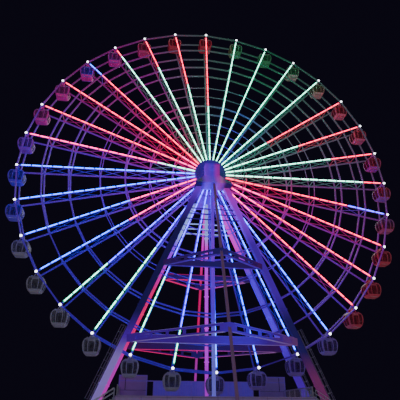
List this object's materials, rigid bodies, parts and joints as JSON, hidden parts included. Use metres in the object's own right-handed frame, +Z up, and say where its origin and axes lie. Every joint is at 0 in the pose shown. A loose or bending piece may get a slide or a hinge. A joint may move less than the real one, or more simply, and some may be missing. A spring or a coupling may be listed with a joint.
{
  "type": "1:10 scale model of a ferris wheel",
  "caption": "Giant observation wheel as a 1:10 scale model: a spoked lattice rim with level-hanging cabins between stayed A-frame towers over a boarding platform.",
  "frame": {"origin": "on the ground, straight under the hub, half way between the wheel's two planes", "axes": "+Z up, +Y along the wheel's axle away from the side that the picture shows, +X to the right of the wheel as the picture shows it"},
  "size_m": [5.8226, 3.437, 6.2263],
  "materials": {
    "white_steel": "white satin paint on square and round steel bars",
    "hub_steel": "light grey satin paint, machined shaft ends",
    "cabin_shell": "pale grey gloss paint on moulded shell and frame",
    "tower_steel": "pale grey satin paint on welded box girders",
    "stay_steel": "grey-brown weathered paint on round pipe",
    "platform_cladding": "cream coated sheet panels",
    "platform_steel": "grey satin paint and galvanised rails",
    "cabin_glass": "clear tinted glazing",
    "light_strip": "diffuser strips and lamps, in red, blue and white-green",
    "cabin_roof": "grey gloss moulded roof cap",
    "dark_trim": "dark seals, treads and joints"
  },
  "bodies": {
    "tower": {"front_tower_head": "tower_steel", "front_left_leg": "tower_steel", "front_right_leg": "tower_steel", "front_plumb_column": "tower_steel", "front_low_ring_girder": "tower_steel", "front_middle_ring_girder": "tower_steel", "rear_tower_head": "tower_steel", "rear_left_leg": "tower_steel", "rear_right_leg": "tower_steel", "rear_plumb_column": "tower_steel", "rear_low_ring_girder": "tower_steel", "rear_middle_ring_girder": "tower_steel", "front_stay_leg": "stay_steel", "rear_stay_leg": "stay_steel", "platform_deck": "platform_cladding", "platform_frame": "platform_steel", "rear_screen": "platform_steel", "left_parapet": "platform_steel", "right_parapet": "platform_steel", "left_stair": "platform_steel", "right_stair": "platform_steel"},
    "wheel": {"front_wheel_lattice": "white_steel", "rear_wheel_lattice": "white_steel", "wheel_hub": "hub_steel"},
    "cabin_01": {"cabin_01": "cabin_shell"},
    "cabin_02": {"cabin_02": "cabin_shell"},
    "cabin_03": {"cabin_03": "cabin_shell"},
    "cabin_04": {"cabin_04": "cabin_shell"},
    "cabin_05": {"cabin_05": "cabin_shell"},
    "cabin_06": {"cabin_06": "cabin_shell"},
    "cabin_07": {"cabin_07": "cabin_shell"},
    "cabin_08": {"cabin_08": "cabin_shell"},
    "cabin_09": {"cabin_09": "cabin_shell"},
    "cabin_10": {"cabin_10": "cabin_shell"},
    "cabin_11": {"cabin_11": "cabin_shell"},
    "cabin_12": {"cabin_12": "cabin_shell"},
    "cabin_13": {"cabin_13": "cabin_shell"},
    "cabin_14": {"cabin_14": "cabin_shell"},
    "cabin_15": {"cabin_15": "cabin_shell"},
    "cabin_16": {"cabin_16": "cabin_shell"},
    "cabin_17": {"cabin_17": "cabin_shell"},
    "cabin_18": {"cabin_18": "cabin_shell"},
    "cabin_19": {"cabin_19": "cabin_shell"},
    "cabin_20": {"cabin_20": "cabin_shell"},
    "cabin_21": {"cabin_21": "cabin_shell"},
    "cabin_22": {"cabin_22": "cabin_shell"},
    "cabin_23": {"cabin_23": "cabin_shell"},
    "cabin_24": {"cabin_24": "cabin_shell"},
    "cabin_25": {"cabin_25": "cabin_shell"},
    "cabin_26": {"cabin_26": "cabin_shell"},
    "cabin_27": {"cabin_27": "cabin_shell"},
    "cabin_28": {"cabin_28": "cabin_shell"},
    "cabin_29": {"cabin_29": "cabin_shell"},
    "cabin_30": {"cabin_30": "cabin_shell"},
    "cabin_31": {"cabin_31": "cabin_shell"},
    "cabin_32": {"cabin_32": "cabin_shell"}
  },
  "joints": [
    {"name": "wheel_spin", "type": "hinge", "parent": "tower", "child": "wheel", "pos_m": [0, 0, 3.41], "axis": [0, 1, 0], "continuous": true},
    {"name": "cabin_01_pivot", "type": "hinge", "parent": "wheel", "child": "cabin_01", "pos_m": [-0.06191, 0, 6.20932], "axis": [0, 1, 0], "continuous": true},
    {"name": "cabin_02_pivot", "type": "hinge", "parent": "wheel", "child": "cabin_02", "pos_m": [-0.60684, 0, 6.14345], "axis": [0, 1, 0], "continuous": true},
    {"name": "cabin_03_pivot", "type": "hinge", "parent": "wheel", "child": "cabin_03", "pos_m": [-1.12845, 0, 5.97254], "axis": [0, 1, 0], "continuous": true},
    {"name": "cabin_04_pivot", "type": "hinge", "parent": "wheel", "child": "cabin_04", "pos_m": [-1.60669, 0, 5.70315], "axis": [0, 1, 0], "continuous": true},
    {"name": "cabin_05_pivot", "type": "hinge", "parent": "wheel", "child": "cabin_05", "pos_m": [-2.02319, 0, 5.34564], "axis": [0, 1, 0], "continuous": true},
    {"name": "cabin_06_pivot", "type": "hinge", "parent": "wheel", "child": "cabin_06", "pos_m": [-2.36194, 0, 4.91374], "axis": [0, 1, 0], "continuous": true},
    {"name": "cabin_07_pivot", "type": "hinge", "parent": "wheel", "child": "cabin_07", "pos_m": [-2.60992, 0, 4.42405], "axis": [0, 1, 0], "continuous": true},
    {"name": "cabin_08_pivot", "type": "hinge", "parent": "wheel", "child": "cabin_08", "pos_m": [-2.75761, 0, 3.8954], "axis": [0, 1, 0], "continuous": true},
    {"name": "cabin_09_pivot", "type": "hinge", "parent": "wheel", "child": "cabin_09", "pos_m": [-2.79931, 0, 3.34809], "axis": [0, 1, 0], "continuous": true},
    {"name": "cabin_10_pivot", "type": "hinge", "parent": "wheel", "child": "cabin_10", "pos_m": [-2.73345, 0, 2.80316], "axis": [0, 1, 0], "continuous": true},
    {"name": "cabin_11_pivot", "type": "hinge", "parent": "wheel", "child": "cabin_11", "pos_m": [-2.56254, 0, 2.28155], "axis": [0, 1, 0], "continuous": true},
    {"name": "cabin_12_pivot", "type": "hinge", "parent": "wheel", "child": "cabin_12", "pos_m": [-2.29315, 0, 1.80331], "axis": [0, 1, 0], "continuous": true},
    {"name": "cabin_13_pivot", "type": "hinge", "parent": "wheel", "child": "cabin_13", "pos_m": [-1.93564, 0, 1.38681], "axis": [0, 1, 0], "continuous": true},
    {"name": "cabin_14_pivot", "type": "hinge", "parent": "wheel", "child": "cabin_14", "pos_m": [-1.50374, 0, 1.04806], "axis": [0, 1, 0], "continuous": true},
    {"name": "cabin_15_pivot", "type": "hinge", "parent": "wheel", "child": "cabin_15", "pos_m": [-1.01405, 0, 0.80008], "axis": [0, 1, 0], "continuous": true},
    {"name": "cabin_16_pivot", "type": "hinge", "parent": "wheel", "child": "cabin_16", "pos_m": [-0.4854, 0, 0.65239], "axis": [0, 1, 0], "continuous": true},
    {"name": "cabin_17_pivot", "type": "hinge", "parent": "wheel", "child": "cabin_17", "pos_m": [0.06191, 0, 0.61069], "axis": [0, 1, 0], "continuous": true},
    {"name": "cabin_18_pivot", "type": "hinge", "parent": "wheel", "child": "cabin_18", "pos_m": [0.60684, 0, 0.67655], "axis": [0, 1, 0], "continuous": true},
    {"name": "cabin_19_pivot", "type": "hinge", "parent": "wheel", "child": "cabin_19", "pos_m": [1.12845, 0, 0.84746], "axis": [0, 1, 0], "continuous": true},
    {"name": "cabin_20_pivot", "type": "hinge", "parent": "wheel", "child": "cabin_20", "pos_m": [1.60669, 0, 1.11685], "axis": [0, 1, 0], "continuous": true},
    {"name": "cabin_21_pivot", "type": "hinge", "parent": "wheel", "child": "cabin_21", "pos_m": [2.02319, 0, 1.47436], "axis": [0, 1, 0], "continuous": true},
    {"name": "cabin_22_pivot", "type": "hinge", "parent": "wheel", "child": "cabin_22", "pos_m": [2.36194, 0, 1.90626], "axis": [0, 1, 0], "continuous": true},
    {"name": "cabin_23_pivot", "type": "hinge", "parent": "wheel", "child": "cabin_23", "pos_m": [2.60992, 0, 2.39595], "axis": [0, 1, 0], "continuous": true},
    {"name": "cabin_24_pivot", "type": "hinge", "parent": "wheel", "child": "cabin_24", "pos_m": [2.75761, 0, 2.9246], "axis": [0, 1, 0], "continuous": true},
    {"name": "cabin_25_pivot", "type": "hinge", "parent": "wheel", "child": "cabin_25", "pos_m": [2.79931, 0, 3.47191], "axis": [0, 1, 0], "continuous": true},
    {"name": "cabin_26_pivot", "type": "hinge", "parent": "wheel", "child": "cabin_26", "pos_m": [2.73345, 0, 4.01684], "axis": [0, 1, 0], "continuous": true},
    {"name": "cabin_27_pivot", "type": "hinge", "parent": "wheel", "child": "cabin_27", "pos_m": [2.56254, 0, 4.53845], "axis": [0, 1, 0], "continuous": true},
    {"name": "cabin_28_pivot", "type": "hinge", "parent": "wheel", "child": "cabin_28", "pos_m": [2.29315, 0, 5.01669], "axis": [0, 1, 0], "continuous": true},
    {"name": "cabin_29_pivot", "type": "hinge", "parent": "wheel", "child": "cabin_29", "pos_m": [1.93564, 0, 5.43319], "axis": [0, 1, 0], "continuous": true},
    {"name": "cabin_30_pivot", "type": "hinge", "parent": "wheel", "child": "cabin_30", "pos_m": [1.50374, 0, 5.77194], "axis": [0, 1, 0], "continuous": true},
    {"name": "cabin_31_pivot", "type": "hinge", "parent": "wheel", "child": "cabin_31", "pos_m": [1.01405, 0, 6.01992], "axis": [0, 1, 0], "continuous": true},
    {"name": "cabin_32_pivot", "type": "hinge", "parent": "wheel", "child": "cabin_32", "pos_m": [0.4854, 0, 6.16761], "axis": [0, 1, 0], "continuous": true}
  ],
  "couplings": [
    {"joint": "cabin_01_pivot", "follows": "wheel_spin", "ratio": -1},
    {"joint": "cabin_02_pivot", "follows": "wheel_spin", "ratio": -1},
    {"joint": "cabin_03_pivot", "follows": "wheel_spin", "ratio": -1},
    {"joint": "cabin_04_pivot", "follows": "wheel_spin", "ratio": -1},
    {"joint": "cabin_05_pivot", "follows": "wheel_spin", "ratio": -1},
    {"joint": "cabin_06_pivot", "follows": "wheel_spin", "ratio": -1},
    {"joint": "cabin_07_pivot", "follows": "wheel_spin", "ratio": -1},
    {"joint": "cabin_08_pivot", "follows": "wheel_spin", "ratio": -1},
    {"joint": "cabin_09_pivot", "follows": "wheel_spin", "ratio": -1},
    {"joint": "cabin_10_pivot", "follows": "wheel_spin", "ratio": -1},
    {"joint": "cabin_11_pivot", "follows": "wheel_spin", "ratio": -1},
    {"joint": "cabin_12_pivot", "follows": "wheel_spin", "ratio": -1},
    {"joint": "cabin_13_pivot", "follows": "wheel_spin", "ratio": -1},
    {"joint": "cabin_14_pivot", "follows": "wheel_spin", "ratio": -1},
    {"joint": "cabin_15_pivot", "follows": "wheel_spin", "ratio": -1},
    {"joint": "cabin_16_pivot", "follows": "wheel_spin", "ratio": -1},
    {"joint": "cabin_17_pivot", "follows": "wheel_spin", "ratio": -1},
    {"joint": "cabin_18_pivot", "follows": "wheel_spin", "ratio": -1},
    {"joint": "cabin_19_pivot", "follows": "wheel_spin", "ratio": -1},
    {"joint": "cabin_20_pivot", "follows": "wheel_spin", "ratio": -1},
    {"joint": "cabin_21_pivot", "follows": "wheel_spin", "ratio": -1},
    {"joint": "cabin_22_pivot", "follows": "wheel_spin", "ratio": -1},
    {"joint": "cabin_23_pivot", "follows": "wheel_spin", "ratio": -1},
    {"joint": "cabin_24_pivot", "follows": "wheel_spin", "ratio": -1},
    {"joint": "cabin_25_pivot", "follows": "wheel_spin", "ratio": -1},
    {"joint": "cabin_26_pivot", "follows": "wheel_spin", "ratio": -1},
    {"joint": "cabin_27_pivot", "follows": "wheel_spin", "ratio": -1},
    {"joint": "cabin_28_pivot", "follows": "wheel_spin", "ratio": -1},
    {"joint": "cabin_29_pivot", "follows": "wheel_spin", "ratio": -1},
    {"joint": "cabin_30_pivot", "follows": "wheel_spin", "ratio": -1},
    {"joint": "cabin_31_pivot", "follows": "wheel_spin", "ratio": -1},
    {"joint": "cabin_32_pivot", "follows": "wheel_spin", "ratio": -1}
  ]
}
